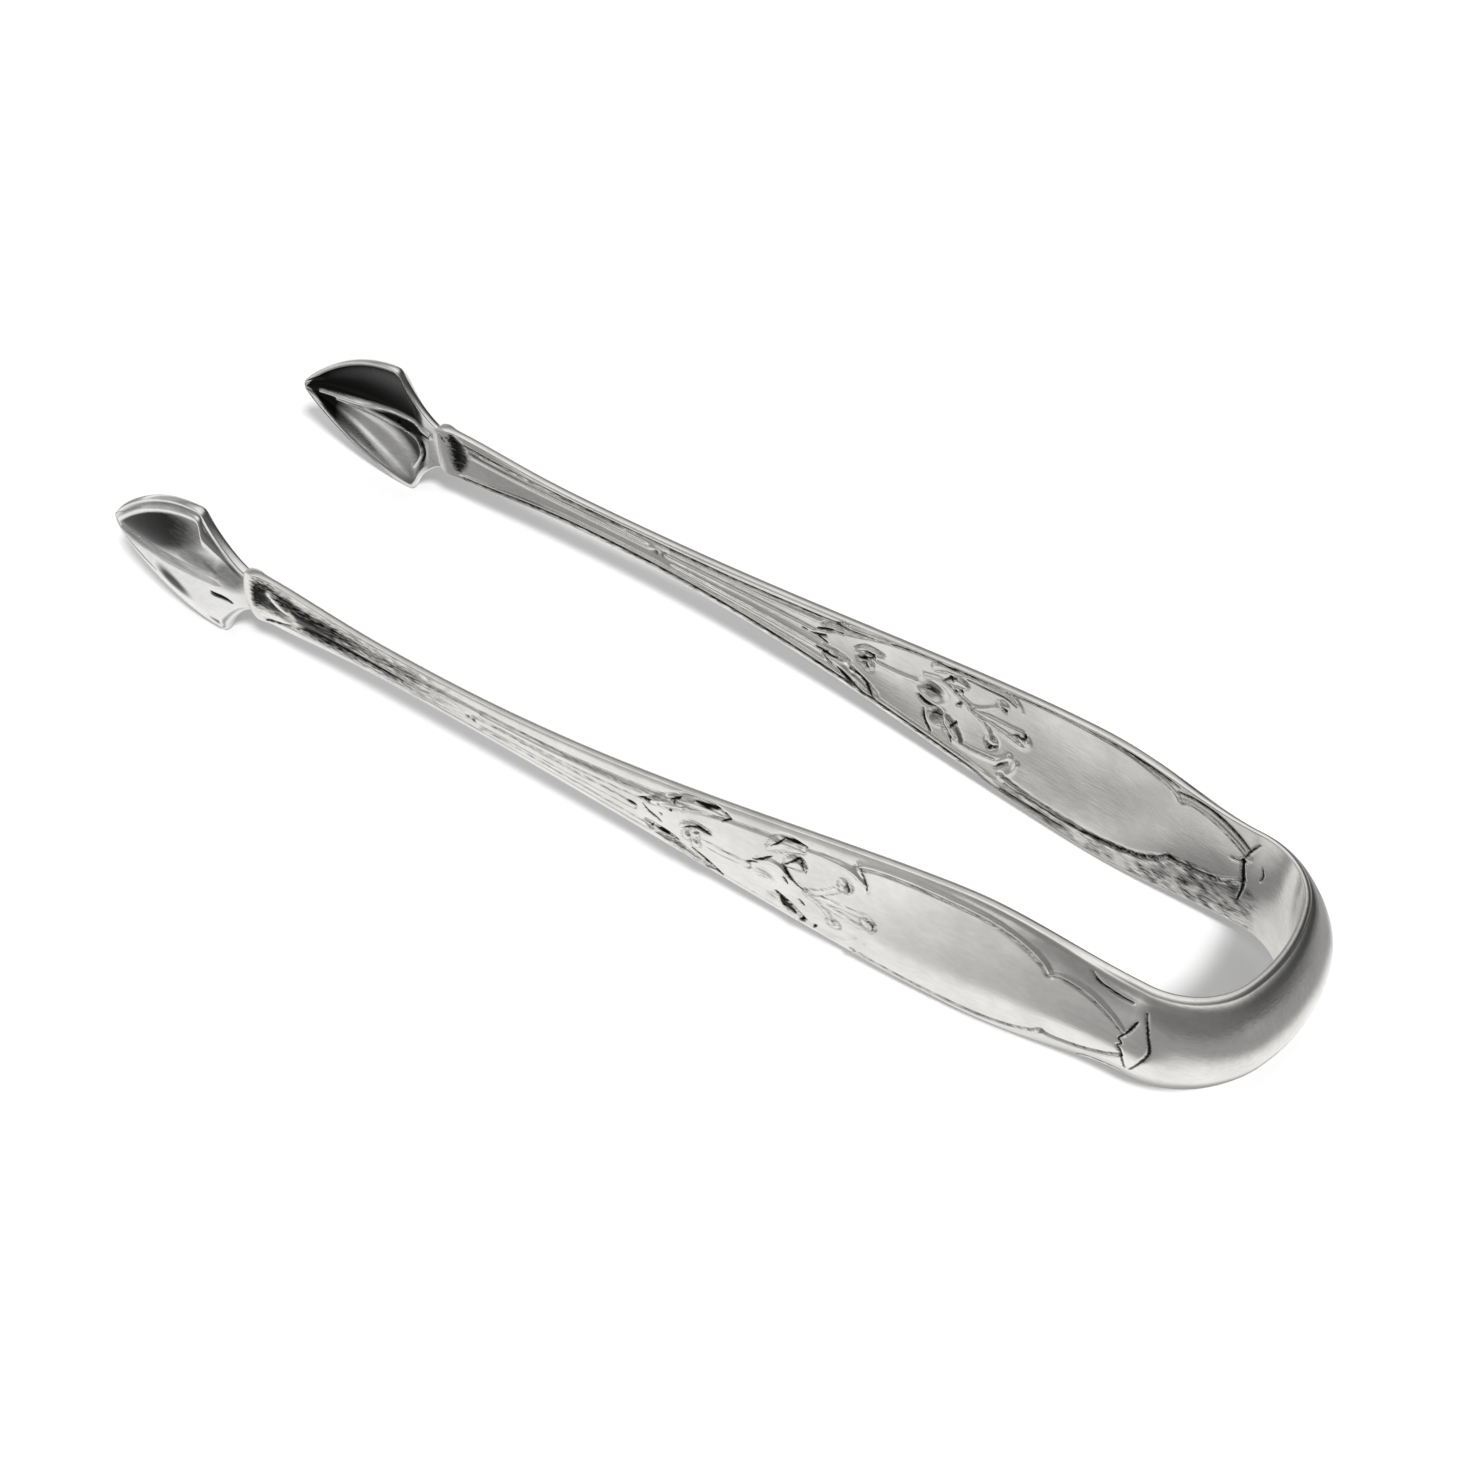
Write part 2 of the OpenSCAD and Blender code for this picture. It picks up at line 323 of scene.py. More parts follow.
CURLS = [[(19.2, 4.15), (20.6, 4.3), (22.8, 4.2), (23.9, 3.7)],
         [(18.4, -3.9), (20.0, -4.05), (21.2, -3.95), (22.6, -3.7), (23.6, -2.7)]]

# Leaves under the flower, the bud between them and the stems
LEAVES = [([(4.1, 1.1), (7.0, 2.3), (9.5, 3.2), (12.3, 3.5)], 0.62),
          ([(4.5, -1.3), (6.6, -2.0), (8.6, -2.7), (11.0, -3.4)], 0.62),
          ([(7.8, 0.4), (9.2, 1.15), (11.2, 1.2)], 0.36), ([(4.4, -0.9), (6.0, -1.2), (7.8, -1.3)], 0.3)]
BUDS = [(8.7, -0.25), (9.35, 0.5), (9.45, -0.65)]
STEMS = [[(-12.4, 0.1), (-4, 0.1), (3.6, 0.1)], [(-11.5, 0.9), (-3.0, 1.1), (5.0, 1.7), (8.0, 2.4)],
         [(-11.5, -0.8), (-3.0, -1.1), (5.0, -1.6), (8.0, -2.2)], [(10.2, 0.0), (12.2, -0.1), (14.2, 0.0)]]

# Dark recesses on the outer face, each with its half width
OUTER_CUTS = [
    (0.14, [(7.0, 2.55), (7.9, 3.2)]), (0.15, [(9.2, 3.5), (10.2, 3.6), (11.3, 3.75)]),
    (0.1, [(5.1, 1.7), (5.4, 1.35)]), (0.11, [(6.0, 1.85), (6.25, 1.75)]), (0.12, [(7.3, 2.65), (7.5, 2.5)]),
    (0.1, [(7.0, 1.65), (7.2, 1.5)]), (0.1, [(6.1, 0.75), (6.4, 0.65)]),
    (0.1, [(4.5, 0.85), (5.0, 0.45), (5.6, 0.2)]),
    (0.09, [(11.8, 3.75), (12.4, 3.45), (11.7, 2.95)]),
    (0.12, [(8.35, 0.5), (9.0, 1.1), (9.9, 1.4), (10.9, 1.2)]),
    (0.12, [(5.0, 0.35), (5.8, 0.1), (6.3, -0.15)]), (0.1, [(3.1, 0.4), (3.9, 0.35)]),
    (0.12, [(4.2, 1.35), (5.4, 1.8)]), (0.12, [(5.3, -1.2), (5.5, -0.9)]),
    (0.18, [(6.1, -1.0), (7.0, -1.1)]), (0.15, [(7.4, -1.45), (7.8, -1.25)]),
    (0.2, [(9.1, -1.45), (10.3, -2.15), (11.2, -2.9), (11.6, -3.5)]),
    (0.24, [(10.9, -2.7), (11.5, -3.35)]), (0.1, [(16.2, 3.2), (17.1, 4.05)]),
    (0.16, [(17.1, 4.15), (18.0, 4.25), (18.95, 4.2)]),
    (0.11, [(17.35, 1.95), (18.0, 2.6), (18.7, 3.1), (19.3, 2.1)]),
    (0.15, [(17.25, 2.0), (17.8, 1.3), (18.6, 0.7), (19.3, 0.4)]),
    (0.42, [(16.8, -1.6), (17.5, -2.4), (18.4, -3.1)]), (0.14, [(18.8, -1.1), (19.3, -1.6)]),
    (0.13, [(17.4, 0.6), (17.8, 0.1)]), (0.1, [(14.7, 1.0), (15.5, 1.5), (16.3, 2.1)]),
    (0.1, [(14.2, 0.4), (15.2, 0.9)]),
    (0.19, [(18.85, -3.65), (19.3, -3.5)]), (0.13, [(20.0, -4.0), (20.2, -3.6)]),
    (0.1, [(22.75, 3.05), (22.95, 2.5), (22.85, 2.1)]), (0.09, [(24.6, 0.5), (25.15, 0.1), (25.2, -0.4)]),
    (0.11, [(23.3, 4.95), (23.8, 4.4), (24.2, 3.8), (24.4, 3.1)]),
    (0.1, [(41.8, 4.85), (42.6, 4.3), (44.0, 4.0), (45.3, 3.9)]),
    (0.1, [(41.8, -4.85), (42.6, -4.3), (44.0, -4.0), (45.3, -3.9)]),
    (0.13, [(45.9, 2.7), (45.5, 1.5), (44.9, 0.6)]), (0.12, [(44.9, 0.6), (45.25, 0.2), (44.9, -0.2)]),
    (0.13, [(44.9, -0.2), (45.3, -0.75), (45.7, -2.9)]),
    (0.11, [(46.25, 3.65), (46.6, 2.1), (46.9, 0.5), (46.5, -1.2), (46.0, -2.8)])]

# Dark recesses on the inner face
INNER_CUTS = [
    (0.1, [(-37.7, 1.9), (-37.2, 1.1)]), (0.13, [(-37.0, 1.8), (-36.5, 1.0)]),
    (0.22, [(4.1, 0.55), (5.3, 1.1), (5.9, 1.5), (6.7, 1.45)]), (0.1, [(2.5, -0.15), (3.1, -0.15)]),
    (0.15, [(3.4, -0.3), (4.2, -0.1), (5.0, 0.25)]), (0.12, [(4.0, -0.2), (5.2, -0.5)]),
    (0.12, [(4.2, -1.35), (5.4, -1.45), (6.4, -1.4)]), (0.12, [(4.8, -1.7), (5.8, -2.3)]),
    (0.28, [(6.5, -2.3), (7.6, -2.75), (8.6, -3.2), (9.5, -3.55)]),
    (0.11, [(7.6, -1.8), (9.0, -2.2), (9.9, -2.8), (10.5, -3.4)]),
    (0.24, [(8.3, -0.25), (9.2, 0.1), (9.8, 0.5)]), (0.22, [(8.8, -0.5), (9.5, -0.7)]),
    (0.14, [(8.9, 0.7), (9.6, 0.85), (10.0, 0.4)]), (0.2, [(14.4, -0.8), (15.2, -1.2), (16.2, -1.2)]),
    (0.14, [(15.1, -1.9), (15.4, -2.9), (16.2, -3.7)]), (0.14, [(16.9, 2.4), (17.6, 3.2), (18.2, 3.5)]),
    (0.19, [(17.5, 3.25), (17.85, 3.1)]), (0.17, [(18.5, 2.3), (18.65, 2.0)]),
    (0.12, [(18.0, 1.95), (18.2, 1.8)]), (0.19, [(18.2, 0.3), (18.6, 0.75)]),
    (0.16, [(18.35, -1.5), (17.9, -2.3)]), (0.12, [(17.0, -2.0), (17.8, -2.9), (18.2, -3.7)]),
    (0.21, [(22.55, 3.1), (22.85, 2.5)]), (0.18, [(24.75, 1.25), (24.85, 0.8), (24.3, 0.5), (23.7, 0.45)]),
    (0.18, [(21.3, -1.9), (21.9, -2.05), (22.4, -1.75)]), (0.2, [(21.6, -2.4), (21.9, -2.0)]),
    (0.13, [(22.6, -3.75), (23.0, -3.2), (23.6, -2.7)]),
    (0.1, [(19.2, 4.1), (21.0, 4.2), (22.8, 4.3), (23.9, 3.9)]),
    (0.15, [(24.2, 5.45), (27.0, 5.9), (30.0, 6.15), (33.3, 6.2), (36.0, 6.05), (38.7, 5.5)]),
    (0.2, [(32.0, 6.15), (34.0, 6.15), (36.0, 6.0), (38.0, 5.6)]),
    (0.13, [(23.7, -4.8), (30.0, -5.1), (33.3, -4.85), (36.0, -4.3), (37.8, -3.4), (38.7, -2.5)]),
    (0.11, [(23.5, -5.4), (27.0, -5.6), (30.0, -5.7)]),
    (0.14, [(38.7, 4.9), (40.1, 5.15), (42.1, 4.9), (44.0, 4.05), (45.3, 3.1)]),
    (0.11, [(38.7, -2.5), (40.1, -2.3), (42.1, -1.9), (44.4, -1.25)]),
    (0.1, [(45.9, 4.1), (45.3, 2.95), (44.9, 1.75)]), (0.24, [(44.75, 1.6), (45.1, 1.75)]),
    (0.21, [(44.9, 1.75), (45.2, 0.2), (45.35, -0.9), (45.2, -2.5)]), (0.1, [(43.9, 1.4), (44.7, 1.55)]),
    (0.1, [(46.55, 2.0), (46.75, 1.3), (46.6, 0.6)])]


# Half width and height of the raised lines, leaves and dots
CURL_SIZE = (0.16, 0.1)
LONG_SIZE = (0.17, 0.13)
SHORT_SIZE = (0.16, 0.12)
LIP_SIZE = (0.26, 0.2)
PETAL_SIZE = (0.6, 0.24)
STAMEN_SIZE = (0.2, 0.13)
ANTHER_SIZE = (0.55, 0.13)
PETAL_EDGE_SIZE = (0.2, 0.16)
BUD_SIZE = (0.45, 0.2)
STEM_SIZE = (0.24, 0.1)
LEAF_H = 0.24
FRAME_SHADE = 0.55

# Sunk cups of the flower, as middle and radii. Each face has its own depth and shade of the cups, and
# shade along the feet of the stems.
CUPS = [((15.7, -0.2), (1.3, 0.95)), ((16.4, -2.5), (0.8, 0.8))]
OUTER_DEPTHS = (0.14, 0.3, 0.4)
INNER_DEPTHS = (0.3, 0.8, 0.2)

# Steps by which the spray sits higher on the inner face, as rise, start and length
SHIFTS = [(0.6, 8, 8), (0.4, 36, 6)]


def spray(run, z, cup_depth, cup_shade, foot):
    """Raised forms of the flower spray and the panel on an arm, with the shade along their feet."""
    relief = Relief(run, z)
    for flip, inside in ((list, -1), (mirrored, 1)):
        relief.bead(flip(PANEL_CURL), *CURL_SIZE)
        relief.bead(flip(PANEL_LONG), *LONG_SIZE, inside, FRAME_SHADE)
        relief.bead(flip(PANEL_SHORT), *SHORT_SIZE, inside, FRAME_SHADE)
    for middle, radii in CUPS:
        relief.bowl(middle, radii, cup_depth, cup_shade)
    relief.bead(LIP, *LIP_SIZE)
    for curve in PETALS:
        relief.leaf(curve, *PETAL_SIZE)
    for curve in STAMENS:
        relief.bead(curve, *STAMEN_SIZE, dark=foot)
    for place in ANTHERS:
        relief.bud(place, *ANTHER_SIZE, foot)
    for curve in CURLS:
        relief.bead(curve, *PETAL_EDGE_SIZE)
    for curve, width in LEAVES:
        relief.leaf(curve, width, LEAF_H)
    for place in BUDS:
        relief.bud(place, *BUD_SIZE)
    for curve in STEMS:
        relief.bead(curve, *STEM_SIZE, dark=foot)
    return relief


def shift(run):
    """How far the spray sits higher on the inner face."""
    return sum(rise * since(run, start, length) for rise, start, length in SHIFTS)


# Line along both edges of an arm, from the socket to the panel, sunk and painted with shade
RIM_W = 1.0
RIM_SHARE = 0.42
LOWER_RIM_W = 0.4
RIM_LINE_W = 0.14
RIM_LINE_D = 0.16
RIM_END = 24
RIM_FADE = 5
SOCKET_FADE = 2
OUTER_RIM_SHADE = 0.2
INNER_RIM_SHADE = 0.85

# Outer face of the slim arm: a dark field, shaded in two steps given as shade and start, that swells
# at the socket; a groove and two reeds; lobes with the width along which the dark is taken off
FIELD_SHADES = [(0.48, -11), (0.44, -22)]
FIELD_FADE = 9
FIELD_END = (0.7, 0.6)
FIELD_AT = 0.35
FIELD_W = 1.45
SWELL = (-31.5, 4)
SWELL_RISE = 0.45
SWELL_W = 0.3
GROOVE = [(-36.4, -2.2), (-34.0, -1.4), (-31.5, -0.5), (-28.0, -0.15), (-20.2, -0.1)]
GROOVE_W = 0.28
REED_START = (-17, 4)
REED_END = (1, 3)
REED_MIDDLE = -0.1
REED_AT = 0.75
REED_W = 0.4
REED_H = 0.1
LOBES = [(0.55, [(-37.0, -1.6), (-35.0, -1.0), (-32.4, -0.4)]),
         (0.3, [(-35.2, 1.3), (-34.2, 0.9), (-32.6, 0.35)])]
LOBE_SIZE = (0.5, 0.2)
LOBE_SHADE = 0.6

# Inner face of the slim arm: a cut and a reed along it, a thin reed by the lower edge, and a dark patch
# in the socket
SIDE_CUT = [(-33, 1.35), (-28, 1.15), (-22, 0.95), (-17, 0.85)]
SIDE_CUT_W = 0.16
SIDE_SHADE = 0.6
BROAD_REED = [(-34.6, 1.0), (-31, 0.75), (-26, 0.5), (-20, 0.35), (-14, 0.3)]
BROAD_REED_SIZE = (0.3, 0.2)
THIN_REED_AT = 0.36
THIN_REED_SIZE = (0.16, 0.1)
SOCKET_PATCH = [(-36.3, 1.9), (-35.7, 0.4), (-36.0, -1.4)]
SOCKET_PATCH_W = 1.1
SOCKET_SHADE = 0.9

# Grit on the inner face under the panel: its ends and their fades, then its shades over all, towards
# the bow, and in blotches
PANEL_FOOT = [(23.7, -5.3), (30, -5.6), (33.3, -5.2), (36, -4.5), (37.8, -3.5), (38.7, -2.6), (40.1, -2.4),
              (42.1, -2.0), (44.4, -1.4), (47.5, -1.6)]
FOOT_FADE = 0.5
GRIT_START = (21, 3)
GRIT_END = (47.5, 2)
GRIT_DARKER = (35, 4)
GRIT_SHADES = (0.12, 0.14, 0.34)

# Knot where the stems start
KNOT = [[(-13.4, -0.4), (-13.1, 0.1)], [(-12.6, -0.2), (-12.2, 0.4)]]
KNOT_W = 0.16
KNOT_SHADE = 0.8


def outer_reeds(relief):
    """Dark field, groove, reeds and lobes on the outer face of the slim arm."""
    run = relief.run
    z = relief.z
    fades = sum(shade * until(run, start, FIELD_FADE) for shade, start in FIELD_SHADES)
    field = fades * since(run - NECK_X, *FIELD_END)
    swell = until(run, *SWELL)
    span = (z - FIELD_AT - SWELL_RISE * swell) / (FIELD_W + SWELL_W * swell)
    relief.dark = np.maximum(relief.dark, field * np.exp(-span ** 4))
    relief.cut(GROOVE, GROOVE_W)
    reed = until(run, *REED_START) * since(run - SOCKET_X, *REED_END)
    from_reed = np.abs(z - REED_MIDDLE) - REED_AT
    relief.height += REED_H * reed * np.exp(-(from_reed / REED_W) ** 2)
    for width, curve in LOBES:
        relief.leaf(curve, *LOBE_SIZE, LOBE_SHADE)
        relief.clear_dark(curve, width)


def inner_reeds(relief, inset, fade):
    """Cut, reeds and socket patch on the inner face of the slim arm, and the grit under the panel."""
    run = relief.run
    z = relief.z
    relief.cut(SIDE_CUT, SIDE_CUT_W, SIDE_SHADE)
    relief.bead(BROAD_REED, *BROAD_REED_SIZE)
    width, height = THIN_REED_SIZE
    thin = np.where(z < 0, np.exp(-((inset - THIN_REED_AT) / width) ** 2), 0)
    relief.height += height * fade * thin
    relief.cut(SOCKET_PATCH, SOCKET_PATCH_W, SOCKET_SHADE)
    border = np.interp(run, *zip(*PANEL_FOOT))
    grit = since(run, *GRIT_START) * until(run, *GRIT_END) * smooth((border - z) / FOOT_FADE)
    waves = np.sin(2.3 * run + 1.3 * np.sin(3.1 * z)) * np.sin(2.7 * z + 0.9 * run)
    over_all, by_bow, blotched = GRIT_SHADES
    grit *= over_all + by_bow * since(run, *GRIT_DARKER) + blotched * smooth(0.5 + 0.9 * waves)
    relief.dark = np.maximum(relief.dark, grit)


def slim_arm(relief, half, outer):
    """Lines along the edges, and the reeds, lobes and knot of the slim arm."""
    run = relief.run
    z = relief.z
    rim = np.minimum(RIM_W, half * RIM_SHARE)
    if not outer:
        rim = np.where(z < 0, LOWER_RIM_W - shift(run), rim)
    fade = until(run, RIM_END, RIM_FADE) * since(run, SOCKET_X, SOCKET_FADE)
    inset = half - np.abs(z) - rim
    line = np.exp(-(inset / RIM_LINE_W) ** 2) * fade
    relief.height -= RIM_LINE_D * line
    relief.dark = np.maximum(relief.dark, line * (OUTER_RIM_SHADE if outer else INNER_RIM_SHADE))
    if outer:
        outer_reeds(relief)
    else:
        inner_reeds(relief, inset, fade)
    for curve in KNOT:
        relief.cut(curve, KNOT_W, KNOT_SHADE)
    return relief


# Columns round a section: across the outer face, over the edge, back across the inner face

OUTER_COLUMNS = 106
INNER_COLUMNS = 90
EDGE_COLUMNS = 4


def spaced(count):
    """Places from -1 to 1, closer together towards both ends."""
    t = np.linspace(-1, 1, count)
    return t * (1.2 - 0.2 * t ** 2)


def section_columns():
    """Place across the strip from -1 to 1, and share of the thickness from inner to outer face."""
    edge = (1 + np.cos(np.linspace(0, math.pi, EDGE_COLUMNS + 2)[1:-1])) / 2
    across = np.concatenate([spaced(OUTER_COLUMNS), np.ones(EDGE_COLUMNS), -spaced(INNER_COLUMNS),
                             -np.ones(EDGE_COLUMNS)])
    share = np.concatenate([np.ones(OUTER_COLUMNS), edge, np.zeros(INNER_COLUMNS), edge[::-1]])
    return np.append(across, across[0]), np.append(share, share[0])


def rounded(across, share, half, chamfer):
    """Height in the section, drawn in at the inner corner of an edge and by a chamfer at the outer."""
    drop = EDGE_ROUND * np.clip(1 - 2 * share, 0, 1) ** 3 + chamfer * share ** 2.5
    zone = np.clip(3 * drop / half, 0.1, 0.6)
    at_edge = np.clip((np.abs(across) - 1) / zone + 1, 0, 1) ** 2
    return across * (half - drop * at_edge)


# Collar at the neck, share of the relief on the inner face, where the section turns into the bow's, and
# the part of the bulge by which the relief fades at the edges
COLLAR_W = 1.7
COLLAR_T = 0.26
INNER_COLLAR = 0.6
INNER_RELIEF = 0.9
BOW_SECTION = (4, 9)
EDGE_FADE = 0.1


def strip_points(run, across, share, side):
    """Points of an arm or the bow, and their dark: patina and painted shade."""
    half = strip_half(run)
    on_bow = since(run - PANEL_X, *BOW_SECTION)
    z = rounded(across, share, half, ARM_CHAMFER + (BOW_CHAMFER - ARM_CHAMFER) * on_bow)
    bulge = np.clip(1 - across ** 2, 0, 1)
    power = CROWN_POWER + (BOW_POWER - CROWN_POWER) * on_bow
    keep = smooth(bulge / EDGE_FADE)
    collar = COLLAR_T * np.exp(-((run - NECK_X - COLLAR_W / 2) / (COLLAR_W / 2)) ** 2)
    front = slim_arm(spray(run, z, *OUTER_DEPTHS), half, True)
    back = slim_arm(spray(run, z - shift(run), *INNER_DEPTHS), half, False)
    for width, curve in OUTER_CUTS:
        front.cut(curve, width)
    back.z = z
    for width, curve in INNER_CUTS:
        back.cut(curve, width)
    outer = EDGE_T + strip_crown(run) * bulge ** power + keep * front.height + collar
    inner = strip_hollow(run) * bulge - keep * back.height * INNER_RELIEF - INNER_COLLAR * collar
    dark = keep * np.where(share > 0.5, front.dark, back.dark)
    x, y, slant = strip_path(run)
    off = inner + (outer - inner) * share
    place = np.stack([x + off * np.sin(slant), side * (y + off * np.cos(slant)), MID_Z + z], 1)
    return place, dark


# Outline of a claw: powers of its two curves, rounding of a barb and how far it reaches, and the even
# samples with the spread of the rounding, the steps between rows and the closer rows at the tip
SHOULDER_POWER = 1.3
BLADE_POWER = 0.83
BARB_ROUND = 0.6
BARB_REACH = 1.4
SAMPLES = 1200
SPREAD_SAMPLES = 60
ROW_STEP = 8
TIP_START = 1130
TIP_STEP = 3


def claw_rows():
    """Stations of a claw as x and half width: hollow shoulder to the rounded barb, then to the tip."""
    v = np.linspace(0, 1, 300)
    w = np.linspace(1, 0, 900)[1:] ** 1.5
    x = np.concatenate([NECK_X - BARB_AT * (1 - (1 - v) ** SHOULDER_POWER),
                        NECK_X - CLAW_LEN + (CLAW_LEN - BARB_AT) * w])
    half = np.concatenate([NECK_W / 2 + (CLAW_W - NECK_W) / 2 * v ** SHOULDER_POWER,
                           TIP_W / 2 + (CLAW_W - TIP_W) / 2 * np.sin(math.pi / 2 * w) ** BLADE_POWER])
    length = np.concatenate([[0], np.cumsum(np.hypot(np.diff(x), np.diff(half)))])
    even = np.linspace(0, length[-1], SAMPLES)
    x = np.interp(even, length, x)
    half = np.interp(even, length, half)
    step = even[1]
    reach = np.arange(-SPREAD_SAMPLES, SPREAD_SAMPLES + 1) * step
    weight = np.exp(-(reach / BARB_ROUND) ** 2)
    weight /= weight.sum()
    corner = np.exp(-((even - even[np.argmax(half)]) / BARB_REACH) ** 4)
    soft_x = np.convolve(np.pad(x, SPREAD_SAMPLES, "edge"), weight, "valid")
    soft_half = np.convolve(np.pad(half, SPREAD_SAMPLES, "edge"), weight, "valid")
    x = x + corner * (soft_x - x)
    half = half + corner * (soft_half - half)
    rows = [np.arange(0, SAMPLES, ROW_STEP), np.arange(TIP_START, SAMPLES, TIP_STEP), [SAMPLES - 1]]
    pick = np.unique(np.concatenate(rows))
    return x[pick], half[pick]


CLAW_X, CLAW_HALF = claw_rows()
RIB_UPPER = [(-53.0, 0.0), (-49.5, 0.2), (-46.5, 0.55), (-44.0, 0.85), (-41.5, 0.95), (-39.4, 0.7)]
RIB_LOWER = [(-51.0, -0.2), (-47.0, -0.1), (-44.0, -0.25), (-42.2, -0.7), (-41.3, -1.5), (-41.1, -2.4),
             (-41.6, -3.4), (-42.4, -4.6)]
RIB_SIZE = (0.2, 0.3)
NECK_CUTS = [(0.3, [(-43.5, 0.2), (-41.5, 0.15), (-39.8, 0.1)]),
             (0.22, [(-40.9, -0.9), (-40.6, -1.9), (-40.9, -3.0)])]
OUTER_VALLEY = [(-51.0, -0.1), (-46.0, 0.1), (-41.5, 0.2)]
VALLEY_SIZE = (0.22, -0.15)

# Dark lines on the outer face, painted shadow along its creases, each with its half width and shade
OUTER_LINES = [(OUTER_VALLEY, 0.16, 0.7), ([(-42.0, -1.3), (-41.0, -1.6), (-40.2, -2.1)], 0.24, 0.95),
               ([(-53.0, -0.9), (-51.0, -1.5), (-49.0, -2.2)], 0.14, 0.8)]

# Patches of a claw, as middle, half length, half height and tilt: the bright floor of the lower
# pocket, kept free of the painted shade of the dish, and the places of painted shade on the outer face
# with their shades
POCKET_LIGHT = (-46.5, -3.4, 4.6, 2.3, -0.42)
UPPER_LOBE_SHADE = (-47.4, 3.2, 8.0, 2.4, 0.3)
UPPER_SHADE_FADE = ((-51.0, -49.0, -46.5, -44.0, -42.5, -41.0), (1.0, 1.0, 0.9, 0.83, 0.72, 0.45))
OUTER_SHADES = [((-46.6, -2.3, 1.9, 0.75, -0.45), 0.85), ((-41.5, 1.7, 1.4, 0.36, -0.75), 0.72),
                ((-42.6, -5.4, 0.8, 0.4, -0.3), 0.8), ((-43.2, 2.0, 2.8, 1.45, -0.15), 0.68)]
NECK_SHADE = (-39.8, 1.2, 2.2, 1.5, 0.35)
NECK_DARK = 0.66

# Insets from the edge at which a painted shade starts, each with its fade: in the dish, on the outer face,
# and at the neck; then the stretch at the neck and the share by which the painted shade of the dish is left
# off
DISH_INSET = (0.3, 0.25)
OUTER_SHADE_INSET = (0.9, 0.25)
NECK_INSET = (0.3, 0.3)
NECK_UNSHADED = (1.4, 1.6)
UNSHADED_SHARE = 0.88

# Dish: how the pockets fill, and where they start behind the neck
FULL_POWER = 0.6
FLANGE_SHARES = (0.6, 0.25)
RIB_SHARES = (0.25, 0.12)
POCKET_POWERS = (0.8, 0.6)
POCKET_START = (1.6, 2.2)
CLAW_EDGE_FADE = 0.08

# Lip along the rim of the outer face, and the gutter beside it, painted with shade
RIM_LIP_AT = 0.8
RIM_LIP_W = 0.16
RIM_LIP_H = 0.14
GUTTER_AT = 0.45
GUTTER_W = 0.14
GUTTER_D = 0.08
GUTTER_SHADE = 0.75


def patch(x, z, place):
    """Share of a soft-edged tilted oval, 1 at its middle."""
    middle_x, middle_z, length, height, tilt = place
    u = (x - middle_x) * math.cos(tilt) + (z - middle_z) * math.sin(tilt)
    v = (z - middle_z) * math.cos(tilt) - (x - middle_x) * math.sin(tilt)
    return smooth(1.5 - np.hypot(u / length, v / height))


def claw_inside(x, z, inset):
    """Ribs of the dish, and the painted shade of its pockets, left off at the neck and over the bright floor
    of the lower pocket.
    """
    relief = Relief(x, z)
    unshaded = np.maximum(patch(x, z, POCKET_LIGHT), 1 - since(NECK_X - x, *NECK_UNSHADED))
    # Painted shade in the pockets, kept off the neck and the lower pocket's bright floor.
    relief.dark = since(inset, *DISH_INSET) * (1 - UNSHADED_SHARE * unshaded)
    for curve in (RIB_UPPER, RIB_LOWER):
        relief.bead(curve, *RIB_SIZE)
        relief.clear_dark(curve, RIB_SIZE[0])
    for width, curve in NECK_CUTS:
        relief.cut(curve, width)
    return relief


def claw_outside(x, z, inset):
    """Lines and patches of painted shade on the outer face, which give it a hollow look."""
    relief = Relief(x, z)
    # Painted shade: dark over the upper lobe, fading towards the neck, then the other patches.
    relief.dark = patch(x, z, UPPER_LOBE_SHADE) * np.interp(x, *UPPER_SHADE_FADE)
    for place, shade in OUTER_SHADES:
        relief.dark = np.maximum(relief.dark, shade * patch(x, z, place))
    relief.dark *= since(inset, *OUTER_SHADE_INSET)
    by_neck = NECK_DARK * patch(x, z, NECK_SHADE) * since(inset, *NECK_INSET)
    relief.dark = np.maximum(relief.dark, by_neck)
    relief.bead(OUTER_VALLEY, *VALLEY_SIZE)
    for curve, width, shade in OUTER_LINES:
        relief.cut(curve, width, shade)
    return relief


